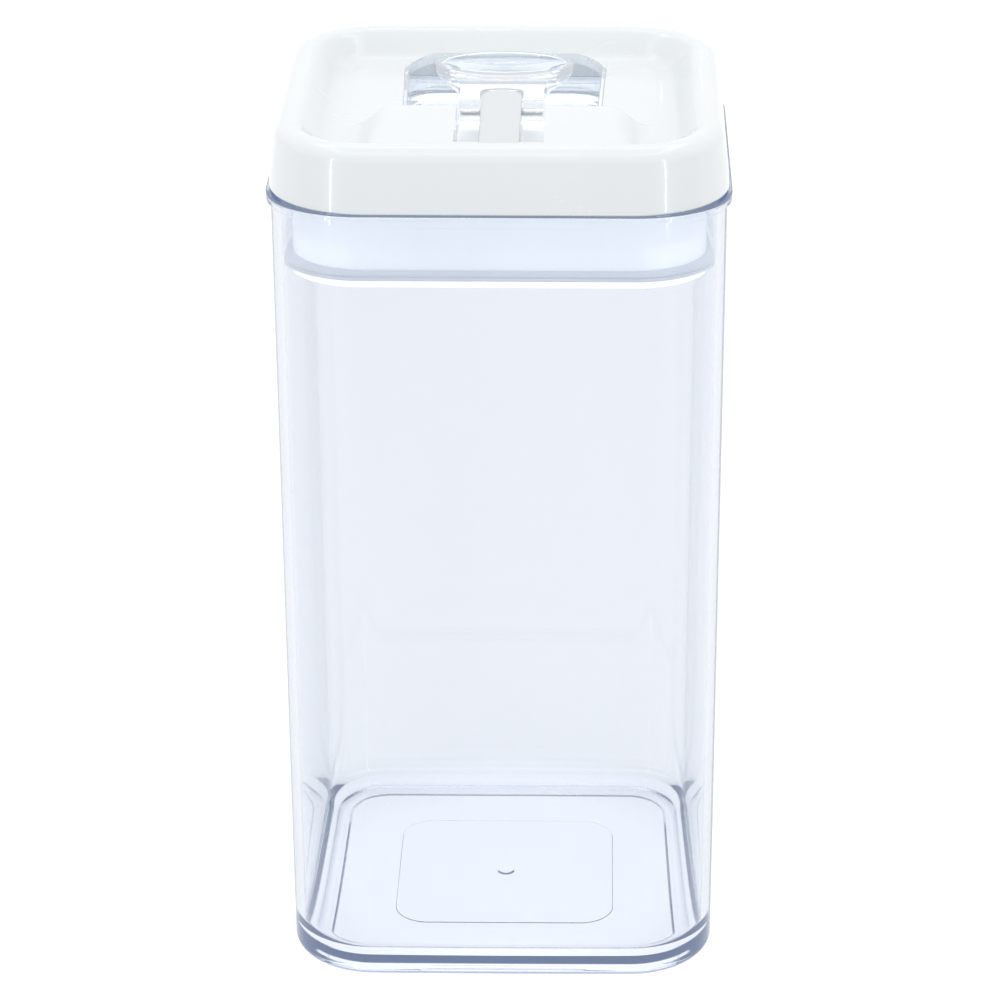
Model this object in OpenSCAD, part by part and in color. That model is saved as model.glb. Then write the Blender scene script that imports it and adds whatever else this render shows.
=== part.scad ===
// Food canister: a clear rounded-square jar, and a lid that a flip lever locks by squeezing its seal.
// Lengths are in millimetres. +Z is up, -Y is the front, and the origin is the middle of the foot.
// Ring profiles are drawn as [half width, height], so one number gives a wall's place on every side.

/* [Jar] */
// Outer width just under the rim
body_w = 113.8; // [106:0.2:124]
// Height from the foot to the top of the rim
body_h = 213; // [120:1:260]
// Radius of the upright corners just under the rim
corner_r = 23; // [20:0.2:26]
// How far each side leans in between the rim and the foot
draft = 1; // [0:0.1:2]
// Thickness of the side walls
wall = 2.5; // [2:0.1:3.5]
// Thickness of the floor
floor_t = 3; // [2:0.1:4]
// Radius between the floor and the walls, inside
floor_fillet = 7; // [4:0.5:9]
// Radius of the outer edge around the foot
foot_fillet = 3.6; // [2:0.1:4.2]
// Width of the flat ring that the jar stands on
foot_w = 6; // [4:0.5:8]
// How far the underside is raised inside that ring
foot_rise = 1; // [0.9:0.1:1.5]
// Height of the flange around the mouth
rim_h = 2.4; // [1.6:0.1:4]
// How far that flange reaches past the wall
rim_out = 1.2; // [1:0.1:2.5]
// Width of the square panel moulded under the floor
panel_w = 59; // [40:1:64]
// Corner radius of that panel
panel_r = 9; // [4:0.5:12]
// Relief of the panel, and of the gate mark on it
panel_h = 0.4; // [0.2:0.05:0.45]
// Radius of the gate mark
gate_r = 2.2; // [1:0.1:4]

/* [Lid cover] */
// How far the lid's lower edge lies inside the rim's edge
lid_inset = 0.4; // [0.2:0.1:0.8]
// How much further in the lid's corner centres lie than the jar's
lid_turn = 1.6; // [0:0.1:3]
// Height from the lower edge to the top of the crest
lid_h = 16.4; // [15:0.1:20]
// How far the skirt leans in on its way up
lid_lean = 1.2; // [0.5:0.05:1.5]
// Thickness of the cover
lid_t = 2.2; // [1.8:0.1:2.6]
// Radius over the crest
crest_r = 4.4; // [3.5:0.1:5]
// Depth of the dish under the crest
dish_h = 7; // [6:0.1:7.4]
// Radius between the dish's wall and its floor
dish_fillet = 8; // [5:0.5:9]
// How far the ridge behind the front crest stays under that crest
ridge_drop = 2; // [1.5:0.1:3]
// Half width of the ridge's level top
ridge_half = 26.5; // [20:0.5:28]
// Width of each flank of the ridge
flank_w = 14; // [10:0.5:15]
// Fall of the ridge from its rear end to the front crest
ridge_fall = 2.2; // [0.5:0.1:3]
// How far in front of the lever's arms the ridge ends
ridge_gap = 3.9; // [2:0.1:4.5]
// Distance from the front crest back to the front end of the lever slots
slot_in = 12; // [10:0.5:15]
// Width of each lever slot
slot_w = 6; // [5.4:0.1:6.6]
// Thickness of the walls beside the slots
slot_t = 1.8; // [1.2:0.1:2.4]
// Width of the tongue between the two slots
tongue_w = 10.3; // [10:0.1:12]
// Fall of the tongue from its rear end to its front end
tongue_fall = 3.5; // [1:0.1:4]
// How far the hinge block reaches back past the cams
block_over = 1.2; // [0.5:0.1:2]
// Radius of the four posts that are staked through the plug
stake_r = 2; // [1.5:0.1:2.5]
// Distance from the plug's wall in to the middle of each post
stake_in = 11; // [9:0.5:13]
// How far the head of each post reaches past its shank
stake_head = 0.9; // [0.5:0.1:1.2]
// Thickness of those heads
stake_cap = 1.2; // [0.8:0.1:2]

/* [Plug] */
// Clearance between the plug's wall and the jar's wall
plug_gap = 2.5; // [2:0.1:3.5]
// Thickness of the plug's wall and plate
plug_t = 2; // [1.5:0.1:2.5]
// Depth of the plug's wall under the rim
plug_h = 15.5; // [12:0.5:20]
// Room for fingers on each side of the paddle
finger_side = 7; // [5:0.5:8]
// Room for fingers behind the paddle
finger_back = 8.5; // [6:0.5:11]
// Distance from the rear crest forward to the rear wall of the finger well
well_in = 8.1; // [8:0.1:12]
// Radius of the well's rear corners
well_r = 14; // [8:0.5:16]
// Thickness of the well's wall
well_t = 1.5; // [1.2:0.1:1.8]
// How far the well's lip stands over the dish
lip_h = 1; // [0.5:0.1:1.5]
// How far the well's floor lies under the jar's rim
well_sink = 1; // [0:0.5:3]

/* [Lever] */
// Distance from the middle of the lid forward to the hinge pin
pivot_fwd = 6.4; // [5:0.1:8]
// Height of the pin over the cams' lowest line when the lever is flat
cam_long = 4.9; // [4.5:0.1:5.4]
// How far the plate drops when the lever stands up
cam_lift = 1.6; // [1.2:0.1:2]
// Height of the lever's top over the pin
lever_up = 3.7; // [3.4:0.1:4]
// Clearance on each side of an arm in its slot
arm_gap = 0.45; // [0.3:0.05:0.6]
// Length of the arms behind the pin
arm_reach = 11.6; // [9:0.2:14]
// Thickness of the neck between the arms and the paddle
neck_t = 3.4; // [2.8:0.1:3.8]
// How far the neck spreads past the arms where it meets the paddle
neck_flare = 3; // [1:0.2:4]
// Width of the paddle
paddle_w = 36; // [30:0.5:40]
// Length of the paddle from front to rear
paddle_l = 21.4; // [18:0.2:24]
// Height of the paddle
paddle_h = 5.5; // [4.5:0.1:6]
// Depth of the hollow in the paddle's top
paddle_dish = 2.8; // [1.5:0.1:3.2]
// Width of the paddle's rim
paddle_rim = 2; // [1.5:0.1:3]
// Height of the paddle's upright edge
paddle_edge = 1.6; // [1:0.1:2]
// How far the paddle draws in between that edge and its underside
paddle_taper = 4.5; // [3:0.1:6]

/* [Plate and seal] */
// Radius of the hinge pin
pin_r = 1; // [0.8:0.05:1.2]
// Radius of the draw post
post_r = 3.35; // [3:0.05:3.6]
// Height of the draw post over the pin
post_over = 2.3; // [1.8:0.1:2.5]
// Radius of the foot under the draw post
post_foot_r = 9; // [6:0.5:12]
// Thickness of the pressure plate and of the post's foot
plate_t = 2; // [1.5:0.1:3]
// Thickness of the boss around the draw post
boss_t = 2.5; // [1.5:0.1:4]
// Height of the seal when it is squeezed
seal_h = 2.1; // [1.6:0.1:3]
// Height of the wall that keeps the seal in place
guide_h = 7.5; // [4:0.5:9]

/* [Clearances] */
// Gap under the lid where it rests on the rim
rest_gap = 0.3; // [0.2:0.05:0.5]
// Gap between pieces that move past each other
run_gap = 0.3; // [0.25:0.05:0.4]
// Gap between fixed pieces that slip together
fit_gap = 0.2; // [0.1:0.05:0.3]
// Radial clearance of the pin in the lever's arms
pin_gap = 0.05; // [0.03:0.01:0.08]
// Chamfer on the small square edges
edge = 0.4; // [0.2:0.05:0.6]

/* [Hidden] */
$fn = 96;
seam = 0.5;

// Plan of every ring: four quarter turns about fixed corner centres, joined by straight sides
half_w = body_w / 2;
corner_c = half_w - corner_r;

// Jar
foot_p = half_w - draft;
land_p = foot_p - foot_fillet - foot_w;
floor_z = foot_rise + floor_t;
mouth_p = half_w - wall;
rim_p = half_w + rim_out;

// Heights of the lid
lid_z = body_h + rest_gap;
crest_z = lid_z + lid_h;
dish_z = crest_z - dish_h;
under_z = dish_z - lid_t;
ridge_z = crest_z - ridge_drop;
plate_top_z = lid_z + plug_t;
well_z = body_h - well_sink;
lip_z = dish_z + lip_h;

// Section of the dish: a sloping wall between the crest and the floor fillet
dish_a = 45;
lid_p = rim_p - lid_inset;
lid_c = corner_c - lid_turn;
crest_p = lid_p - lid_lean - crest_r;
crest_c = [crest_p, crest_z - crest_r];
wall_top = crest_c + crest_r * [cos(180 - dish_a), sin(180 - dish_a)];
dish_p = wall_top[0] - (wall_top[1] - dish_z) / tan(dish_a);
fillet_c = [dish_p - dish_fillet * tan(dish_a / 2), dish_z + dish_fillet];

// Lever mechanism
pivot_y = -pivot_fwd;
pivot_z = ridge_z - lever_up;
cam_short = cam_long - cam_lift;
cam_rate = cam_lift / (PI / 2);
tongue_over = lever_up + cam_lift;
slot_z = pivot_z - cam_long - run_gap;
slot_front = -crest_p + slot_in;
channel_half = tongue_w / 2 + slot_w;
trough_half = channel_half + slot_t;
ridge_back = pivot_y - cam_short - ridge_gap;
ridge_front = -dish_p - lid_t;
block_back = pivot_y + cam_long + block_over;
arm_w = slot_w - 2 * arm_gap;
arm_x = tongue_w / 2 + arm_gap;
arm_out = arm_x + arm_w;
bore_r = post_r + run_gap;
pin_run_r = pin_r + run_gap;
pin_half = arm_out - run_gap;

// Finger well and paddle
well_half = paddle_w / 2 + finger_side;
well_back = crest_p - well_in;
well_front = ridge_back - lid_t + well_t;
paddle_y = well_back - finger_back - paddle_l / 2;

// Plug, plate and seal
plug_p = mouth_p - plug_gap;
plug_in_p = plug_p - plug_t;
flange_p = lid_p - lid_t - 2 * fit_gap;
plug_z = body_h - plug_h;
stake_at = plug_in_p - stake_in;
seal_out_p = mouth_p - draft * plug_h / body_h - run_gap;
seal_z = plug_z - seal_h;
plate_z = seal_z - fit_gap;
plate_low_z = plate_z - plate_t;
guide_p = plug_in_p - run_gap;

function arc(c, r, a0, a1, n = 6) =
    [for (i = [0:n]) let (a = a0 + (a1 - a0) * i / n) c + r * [cos(a), sin(a)]];

function oval(a, b, n = 40) = [for (i = [0:n - 1]) [a * cos(360 * i / n), b * sin(360 * i / n)]];

// The same outline again on the other side of X = 0, in reverse order
function mirrored(side) = [for (i = [len(side) - 1:-1:0]) [-side[i][0], side[i][1]]];

// Sweeps a profile of [half width, height] all the way round. It starts one seam outside c.
module ring(c = corner_c) {
    for (q = [0:3]) rotate(90 * q) {
        translate([c, c, 0]) rotate_extrude(angle = 90) translate([-c, 0]) children();
        translate([0, c, 0]) rotate([90, 0, 0]) linear_extrude(2 * c) children();
    }
}

// Fills the middle of a ring between two heights, lapping over its inner seam
module middle(z0, z1, c = corner_c) {
    half = c + 2 * seam;
    span([-half, -half, z0], [half, half, z1]);
}

// A box from its low corner to its high corner
module span(a, b) {
    translate(a) cube(b - a);
}

// Extrudes an outline of [y, z] along X, centred
module across(w) {
    translate([-w / 2, 0, 0]) rotate([90, 0, 90]) linear_extrude(w) children();
}

module at_stakes(z) {
    for (x = [-stake_at, stake_at], y = [-stake_at, stake_at]) translate([x, y, z]) children();
}

module body_profile() {
    in_p = foot_p - wall;
    flange_z = body_h - rim_h;
    polygon(concat(
        [[land_p, 0]],
        arc([foot_p - foot_fillet, foot_fillet], foot_fillet, -90, 0),
        [[half_w, flange_z], [rim_p - edge, flange_z], [rim_p, flange_z + edge], [rim_p, body_h - edge]],
        [[rim_p - edge, body_h], [mouth_p + edge, body_h], [mouth_p, body_h - edge]],
        arc([in_p - floor_fillet, floor_z + floor_fillet], floor_fillet, 0, -90),
        [[corner_c + seam, floor_z], [corner_c + seam, foot_rise], [land_p, foot_rise]]
    ));
}

module panel(h) {
    inner = panel_w / 2 - panel_r;
    for (x = [-inner, inner], y = [-inner, inner]) translate([x, y, 0]) cylinder(h = h, r = panel_r);
    span([-panel_w / 2, -inner, 0], [panel_w / 2, inner, h]);
    span([-inner, -panel_w / 2, 0], [inner, panel_w / 2, h]);
}

module body() {
    color([0.86, 0.9, 0.95, 0.35]) {
        ring() body_profile();
        middle(foot_rise, floor_z);
        translate([0, 0, foot_rise - panel_h]) panel(panel_h + floor_t / 2);
        translate([0, 0, foot_rise - 2 * panel_h]) cylinder(h = 2 * panel_h + floor_t / 2, r = gate_r);
    }
}

module cover_profile() {
    polygon(concat(
        [[lid_p - lid_t, lid_z], [lid_p - edge, lid_z], [lid_p, lid_z + edge]],
        arc(crest_c, crest_r, 0, 180 - dish_a, 9),
        arc(fillet_c, dish_fillet, -dish_a, -90),
        [[lid_c + seam, dish_z], [lid_c + seam, under_z]],
        arc(fillet_c, dish_fillet + lid_t, -90, -dish_a),
        arc(crest_c, crest_r - lid_t, 180 - dish_a, 0, 9)
    ));
}

// The ridge behind the front crest has a bell-shaped section, and falls towards the front.
// inset thins it all round, for the hollow under it.
module ridge(inset, low) {
    n = 12;
    m = 6;
    back = ridge_back - inset;
    half = ridge_half - inset / 2;
    foot = half + flank_w;
    rise = ridge_z - dish_z;
    flank = [for (i = [0:n]) [half + flank_w * i / n, dish_z - inset + rise * (1 + cos(180 * i / n)) / 2]];
    spine = [for (i = [0:m]) [back + (ridge_front - back) * i / m,
        ridge_z - inset - ridge_fall * pow(i / m, 2)]];
    intersection() {
        translate([0, back, 0]) rotate([90, 0, 0]) linear_extrude(back - ridge_front)
            polygon(concat(flank, [[foot, low], [-foot, low]], mirrored(flank)));
        across(2 * foot) polygon(concat([[back, low]], spine, [[ridge_front, low]]));
    }
}

// Plan of the finger well grown by m: square front corners and round rear ones
module well_plan(m) {
    x = well_half + m;
    r = well_r + m;
    y = well_back + m;
    translate([-x, well_front - m]) square([2 * x, y - r - well_front + m]);
    translate([r - x, well_front]) square([2 * (x - r), y - well_front]);
    for (s = [-1, 1]) translate([s * (x - r), y - r]) circle(r);
}

// The box that holds the two slots
module trough() {
    span([-trough_half, slot_front - lid_t, slot_z - lid_t], [trough_half, ridge_back, crest_z]);
}

module cover_shell() {
    difference() {
        union() {
            ring(lid_c) cover_profile();
            middle(under_z, dish_z, lid_c);
            ridge(0, slot_z - lid_t);
        }
        difference() {
            ridge(lid_t, slot_z - 2 * lid_t);
            trough();
        }
        difference() {
            translate([0, 0, under_z - lid_t]) linear_extrude(2 * dish_h) well_plan(well_t + fit_gap);
            span([-body_w, -body_w, 0], [body_w, ridge_back, crest_z]);
        }
        span([-channel_half, slot_front, slot_z], [channel_half, 0, crest_z]);
    }
}

// The tongue between the slots ends in a half round about the pin
module tongue() {
    front = slot_front - lid_t / 2;
    low = slot_z - lid_t / 2;
    intersection() {
        across(tongue_w) polygon([
            [front, low], [front, ridge_z - tongue_fall], [ridge_back, ridge_z], [0, ridge_z], [0, low]
        ]);
        translate([0, 0, low]) linear_extrude(crest_z - low) {
            translate([-tongue_w / 2, front]) square([tongue_w, pivot_y - front]);
            translate([0, pivot_y]) circle(tongue_w / 2);
        }
    }
}

module lid_cover() {
    color([0.95, 0.96, 0.97]) {
        difference() {
            union() {
                cover_shell();
                tongue();
                span([-trough_half, well_front + fit_gap, well_z], [trough_half, block_back, slot_z]);
            }
            translate([0, pivot_y, 0]) {
                cylinder(h = pivot_z + post_over + run_gap, r = bore_r);
                translate([-tongue_w, -pin_run_r, pivot_z - cam_lift])
                    cube([2 * tongue_w, 2 * pin_run_r, cam_lift]);
                for (z = [pivot_z - cam_lift, pivot_z]) translate([-tongue_w, 0, z])
                    rotate([0, 90, 0]) cylinder(h = 2 * tongue_w, r = pin_run_r);
            }
        }
        at_stakes(lid_z - stake_cap) {
            cylinder(h = under_z + lid_t / 2 - lid_z + stake_cap, r = stake_r);
            cylinder(h = stake_cap, r = stake_r + stake_head);
        }
    }
}

module plug() {
    color([0.86, 0.9, 0.95, 0.35]) difference() {
        union() {
            ring() polygon([
                [plug_in_p, plug_z], [plug_p, plug_z], [plug_p, plate_top_z], [plug_in_p, plate_top_z]
            ]);
            ring(lid_c) polygon([
                [lid_c + seam, lid_z], [flange_p, lid_z], [flange_p, plate_top_z],
                [lid_c + seam, plate_top_z]
            ]);
            middle(lid_z, plate_top_z, lid_c);
            translate([0, 0, well_z - plug_t]) linear_extrude(lip_z - well_z + plug_t) well_plan(well_t);
        }
        translate([0, 0, well_z]) linear_extrude(crest_z - well_z) well_plan(0);
        // The well's front wall stays under the ridge
        span([-body_w, -body_w, slot_z - lid_t - fit_gap], [body_w, ridge_back + fit_gap, crest_z]);
        translate([0, pivot_y, 0]) cylinder(h = crest_z, r = bore_r);
        at_stakes(0) cylinder(h = crest_z, r = stake_r + fit_gap);
    }
}

module gasket() {
    lip = seal_h / 2;
    color([0.93, 0.95, 0.96]) ring() polygon(concat(
        [[plug_in_p, seal_z]],
        arc([seal_out_p - lip, seal_z + lip], lip, -90, 90),
        [[plug_in_p, plug_z]]
    ));
}

module pressure_plate() {
    wall_z = plate_z + guide_h;
    color([0.86, 0.9, 0.95, 0.35]) difference() {
        union() {
            ring() polygon([
                [corner_c + seam, plate_low_z], [plug_p, plate_low_z], [plug_p, plate_z],
                [guide_p, plate_z], [guide_p, wall_z], [guide_p - plate_t, wall_z],
                [guide_p - plate_t, plate_z], [corner_c + seam, plate_z]
            ]);
            middle(plate_low_z, plate_z);
            translate([0, pivot_y, plate_low_z]) cylinder(h = wall_z - plate_low_z, r = post_r + boss_t);
        }
        translate([0, pivot_y, 0]) cylinder(h = body_h, r = post_r);
    }
}

module draw_post() {
    low = plate_low_z - plate_t;
    color([0.95, 0.96, 0.97]) difference() {
        translate([0, pivot_y, low]) {
            cylinder(h = pivot_z + post_over - low, r = post_r);
            cylinder(h = plate_t, r = post_foot_r);
        }
        translate([-post_foot_r, pivot_y, pivot_z]) rotate([0, 90, 0])
            cylinder(h = 2 * post_foot_r, r = pin_r);
    }
}

module hinge_pin() {
    color([0.72, 0.73, 0.75]) translate([-pin_half, pivot_y, pivot_z])
        rotate([0, 90, 0]) cylinder(h = 2 * pin_half, r = pin_r);
}

// Side view of an arm about the pin. Its cam falls by the same amount for each degree of turn.
module arm() {
    cam = [for (t = [0:10:90]) let (h = cam_long - cam_rate * t * PI / 180)
        [-h * sin(t) + cam_rate * cos(t), -h * cos(t) - cam_rate * sin(t)]];
    across(arm_w) polygon(concat(cam, [
        [-cam_short, lever_up - edge], [-cam_short + edge, lever_up], [arm_reach, lever_up],
        [arm_reach, lever_up - neck_t], [cam_long + block_over, -cam_long]
    ]));
}

// Plan of the neck, from the arms back to the paddle. It clears the tongue as the lever turns.
module neck_plan() {
    join_y = paddle_y - paddle_l / 2;
    n = 6;
    side = [for (i = [0:n]) [arm_out + neck_flare * pow(i / n, 2), join_y * i / n]];
    edge_line = concat([[arm_out, pivot_y]], side, [[arm_out, join_y + paddle_l / 4]]);
    difference() {
        polygon(concat(edge_line, mirrored(edge_line)));
        translate([0, pivot_y]) circle(norm([tongue_w / 2, tongue_over]) + run_gap);
        translate([-arm_x, pivot_y]) square([2 * arm_x, tongue_over + run_gap]);
        translate([0, paddle_y]) polygon(oval(paddle_w / 2 - paddle_rim, paddle_l / 2 - paddle_rim));
    }
}

// The paddle about its own middle, with z = 0 at its top
module paddle() {
    a = paddle_w / 2;
    b = paddle_l / 2;
    difference() {
        hull() {
            translate([0, 0, -paddle_edge]) linear_extrude(paddle_edge - edge) polygon(oval(a, b));
            translate([0, 0, -paddle_edge]) linear_extrude(paddle_edge) polygon(oval(a - edge, b - edge));
            translate([0, 0, -paddle_h]) linear_extrude(edge)
                polygon(oval(a - paddle_taper, b - paddle_taper));
        }
        hull() {
            linear_extrude(edge) polygon(oval(a - paddle_rim, b - paddle_rim));
            translate([0, 0, -paddle_dish]) linear_extrude(edge)
                polygon(oval(a - paddle_rim - paddle_taper, b - paddle_rim - paddle_taper));
        }
    }
}

module lever() {
    color([0.88, 0.92, 0.95, 0.4]) translate([0, pivot_y, pivot_z]) difference() {
        union() {
            for (s = [-1, 1]) translate([s * (arm_x + arm_w / 2), 0, 0]) arm();
            translate([0, -pivot_y, lever_up - neck_t]) linear_extrude(neck_t) neck_plan();
            translate([0, paddle_y - pivot_y, lever_up]) paddle();
        }
        translate([-arm_out, 0, 0]) rotate([0, 90, 0]) cylinder(h = 2 * arm_out, r = pin_r + pin_gap);
    }
}

body();
lid_cover();
plug();
gasket();
pressure_plate();
draw_post();
hinge_pin();
lever();
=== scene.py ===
import math

import bmesh
import bpy
from bpy.props import FloatProperty, FloatVectorProperty, IntProperty, PointerProperty
from mathutils import Matrix, Vector


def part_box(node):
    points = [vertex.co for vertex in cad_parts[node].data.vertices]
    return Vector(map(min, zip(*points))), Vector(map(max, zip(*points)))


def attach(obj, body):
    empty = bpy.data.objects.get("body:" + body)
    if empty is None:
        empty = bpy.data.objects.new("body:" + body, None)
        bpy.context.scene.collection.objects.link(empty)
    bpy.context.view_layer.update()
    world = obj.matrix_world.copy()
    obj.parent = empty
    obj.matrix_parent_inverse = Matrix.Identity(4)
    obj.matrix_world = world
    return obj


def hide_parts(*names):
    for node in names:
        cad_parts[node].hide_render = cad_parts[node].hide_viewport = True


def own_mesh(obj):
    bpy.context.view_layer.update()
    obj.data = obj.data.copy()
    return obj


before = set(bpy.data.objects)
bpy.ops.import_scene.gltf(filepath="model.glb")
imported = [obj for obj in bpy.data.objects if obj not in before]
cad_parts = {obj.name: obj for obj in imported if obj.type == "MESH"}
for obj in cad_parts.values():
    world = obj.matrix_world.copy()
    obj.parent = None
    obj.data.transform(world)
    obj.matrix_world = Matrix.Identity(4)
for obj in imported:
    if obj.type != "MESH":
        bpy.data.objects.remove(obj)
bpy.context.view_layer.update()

bl_info = {
    "name": "Food canister",
    "version": (1, 0, 0),
    "blender": (4, 5, 0),
    "location": "View3D > Sidebar > Canister",
    "description": "Models a clear square jar with a flip-lever lid over its CAD frame",
    "category": "Mesh",
}

MM = 0.001
PIVOT = (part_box("hinge_pin")[0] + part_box("hinge_pin")[1]) / 2 / MM

# Places and sizes that pieces of the lid share, in millimetres
LID_CORNER = 32.3  # centres of the corner rounding of the cover and the plug
SKIRT_FOOT = 213.3  # lower edge of the cover's skirt
SKIRT_GAP = 0.4  # how far the skirt keeps inside the frame's box
PLUG_TOP = 215.3  # top of the plug's plate
PLUG_PLATE = 2  # thickness of that plate
PLUG_FOOT = 197.5  # lower edge of the plug's wall
PLUG_WALL, PLUG_BORE = 51.9, 49.9  # half widths of the plug's wall, outside and inside
SEAL_CORNER = 33.9  # centres of the seal's corner rounding
STAKE, STAKE_R = 38.9, 2.2  # holes for the cover's stakes
WELL_HALF, WELL_BACK, WELL_FRONT = 26.6, 44.3, -15.7
WELL_FLOOR = 212
WELL_FILLET = 2.4
RIDGE_BACK, SLOT_FRONT = -13.6, -39.96
SLOT_FLOOR = PIVOT.z - 5.2
SLOT_WALL = 1.8
POST_R = 3.65  # bore that the draw post runs in
PIN_R = 1.05  # bore that the pin runs in
PIN_SLOT_R = 1.3
PLATE_TRAVEL = 1.6
CAM_R = 4.9  # from the pin to the cam's lowest point at rest
ARM_INNER, ARM_OUTER = 5.6, 10.7  # faces of the lever's arms
LEVER_TOP = PIVOT.z + 3.7
PADDLE_Y = 24.8
OVAL_STEPS = 64

# Material slots of the cover's faces: the tongue's painted shade and the inner faces' painted glow
TONGUE_SHADE_FACE, INNER_GLOW_FACE = 1, 2


# Sizes and colours

def length(name, description, mm):
    """A size in metres whose default is given in millimetres."""
    return FloatProperty(name=name, description=description, default=mm * MM, min=0,
                         precision=4, unit="LENGTH", subtype="DISTANCE")


def colour(name, description, value):
    """A linear colour."""
    return FloatVectorProperty(name=name, description=description, default=value,
                               size=3, min=0, max=1, subtype="COLOR")


class JarSizes(bpy.types.PropertyGroup):
    wall: length("Wall", "Thickness of the side walls", 2.5)
    floor: length("Floor", "Thickness of the floor", 3)
    corner: length("Corner", "Radius of the upright corners under the rim", 23)
    draft: length("Draft", "How far each side leans in between rim and foot", 1)
    bow: length("Bow", "How far the middle of each side swells outwards", 0.35)
    inner_fillet: length("Inner fillet", "Radius between floor and walls, inside", 7)
    foot_fillet: length("Foot fillet", "Radius of the outer edge round the foot", 3.6)
    foot: length("Foot", "Width of the ring that the jar stands on", 6)
    rise: length("Rise", "How far the underside is raised inside the foot", 1)
    rim: length("Rim", "Height of the flange round the mouth", 2.4)
    rim_out: length("Rim reach", "How far the flange reaches past the wall", 1.2)
    panel: length("Panel", "Width of the square panel under the floor", 59)
    panel_corner: length("Panel corner", "Corner radius of that panel", 9)
    relief: length("Relief", "Height of the panel and of the gate mark", 0.4)
    gate: length("Gate", "Radius of the gate mark", 2.2)
    corner_steps: IntProperty(name="Corner steps", description="Faces round each corner", default=18, min=4)
    side_steps: IntProperty(name="Side steps", description="Faces along each side", default=18, min=2)


class LidSizes(bpy.types.PropertyGroup):
    crest: length("Crest", "Radius over the crest", 4.4)
    lean: length("Lean", "How far the skirt leans in on its way up", 1.2)
    shell: length("Shell", "Thickness of the cover", 2.2)
    dish: length("Dish", "Depth of the dish under the crest", 7)
    dish_fillet: length("Dish fillet", "Radius between the dish's wall and floor", 8)
    ridge_half: length("Ridge", "Half width of the ridge's level top", 26.5)
    flank: length("Flank", "Width of each flank of the ridge", 14)
    ridge_drop: length("Ridge drop", "How far the ridge stays under the crest", 1.4)
    ridge_fall: length("Ridge fall", "Fall of the ridge from rear to front", 2.2)
    ridge_blend: length("Ridge blend", "Softness of the ridge's foot", 1.6)
    tongue: length("Tongue", "Width of the tongue between the slots", 10.3)
    slot: length("Slot", "Width of each lever slot", 6)
    well_corner: length("Well corner", "Radius of the well's rear corners", 9)
    well_taper: length("Well taper", "How much narrower each side of the well is in front", 1.6)
    well_wall: length("Well wall", "Thickness of the well's wall", 1.2)
    well_lip: length("Well lip", "How far the well's lip stands over the dish", 0.4)


class LeverSizes(bpy.types.PropertyGroup):
    paddle_width: length("Paddle width", "Width of the paddle", 36)
    paddle_length: length("Paddle length", "Length of the paddle", 21.4)
    paddle_height: length("Paddle height", "Height of the paddle", 5.5)
    hollow: length("Hollow", "Depth of the paddle's hollow", 2.8)
    rim: length("Rim", "Width of the paddle's rim", 2)
    neck: length("Neck", "Thickness of the neck", 3.4)
    edge: length("Edge", "Rounding of the lever's edges", 0.35)


class CanisterColours(bpy.types.PropertyGroup):
    clear: colour("Clear plastic", "Tint of the jar", (0.862, 0.879, 0.905))
    lid_clear: colour("Lid's clear plastic", "Tint of the well and the lever", (0.975, 0.985, 0.99))
    jar_trapped: colour("Jar's trapped light", "Glow in the jar's thick edges", (0.2, 0.25, 0.35))
    lid_trapped: colour("Lid's trapped light", "Glow in the lid's thick clear edges", (0.64, 0.67, 0.72))
    depth: colour("Depth tint", "Tint that thick clear plastic takes on", (0.5, 0.62, 0.93))
    white: colour("White plastic", "Colour of the cover", (0.66, 0.69, 0.705))
    seal: colour("Seal", "Colour of the silicone", (0.74, 0.76, 0.80))
    milky: colour("Milky plastic", "Colour of the plug's wall and the pressure plate", (0.92, 0.935, 0.96))
    steel: colour("Steel", "Colour of the hinge pin", (0.62, 0.63, 0.65))
    floor: colour("Floor", "Colour of the studio floor", (0.3, 0.3, 0.3))


# Modelling by hand

def into_edit(ob, select="DESELECT"):
    """Enters edit mode in vertex mode, with everything or nothing selected."""
    bpy.context.view_layer.objects.active = ob
    ob.select_set(True)
    bpy.ops.object.mode_set(mode="EDIT")
    bpy.ops.mesh.select_mode(type="VERT")
    bpy.ops.mesh.select_all(action=select)


def out_of_edit():
    bpy.ops.object.mode_set(mode="OBJECT")


def start(name, primitive, **how):
    """Adds a primitive with nothing else selected and returns it in object mode."""
    bpy.ops.object.select_all(action="DESELECT")
    getattr(bpy.ops.mesh, "primitive_" + primitive + "_add")(**how)
    ob = bpy.context.object
    ob.name = ob.data.name = name
    return ob


def tidy_mesh(ob, gap=0.002):
    """Closes seams and turns the faces outwards."""
    into_edit(ob, "SELECT")
    bpy.ops.mesh.remove_doubles(threshold=gap * MM)
    bpy.ops.mesh.normals_make_consistent(inside=False)
    out_of_edit()


def arc(centre, radius, a0, a1, n):
    """Points of an arc in n steps, from angle a0 to a1 in degrees."""
    return [(centre[0] + radius * math.cos(math.radians(a0 + (a1 - a0) * i / n)),
             centre[1] + radius * math.sin(math.radians(a0 + (a1 - a0) * i / n))) for i in range(n + 1)]


def oval(cx, cy, a, b, n):
    """Points of a closed oval with half axes a and b."""
    return [(cx + a * math.cos(2 * math.pi * i / n), cy + b * math.sin(2 * math.pi * i / n)) for i in range(n)]


def spread(a, b, n):
    """Values from a to b in n even steps."""
    return [a + (b - a) * i / n for i in range(n + 1)]


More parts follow.
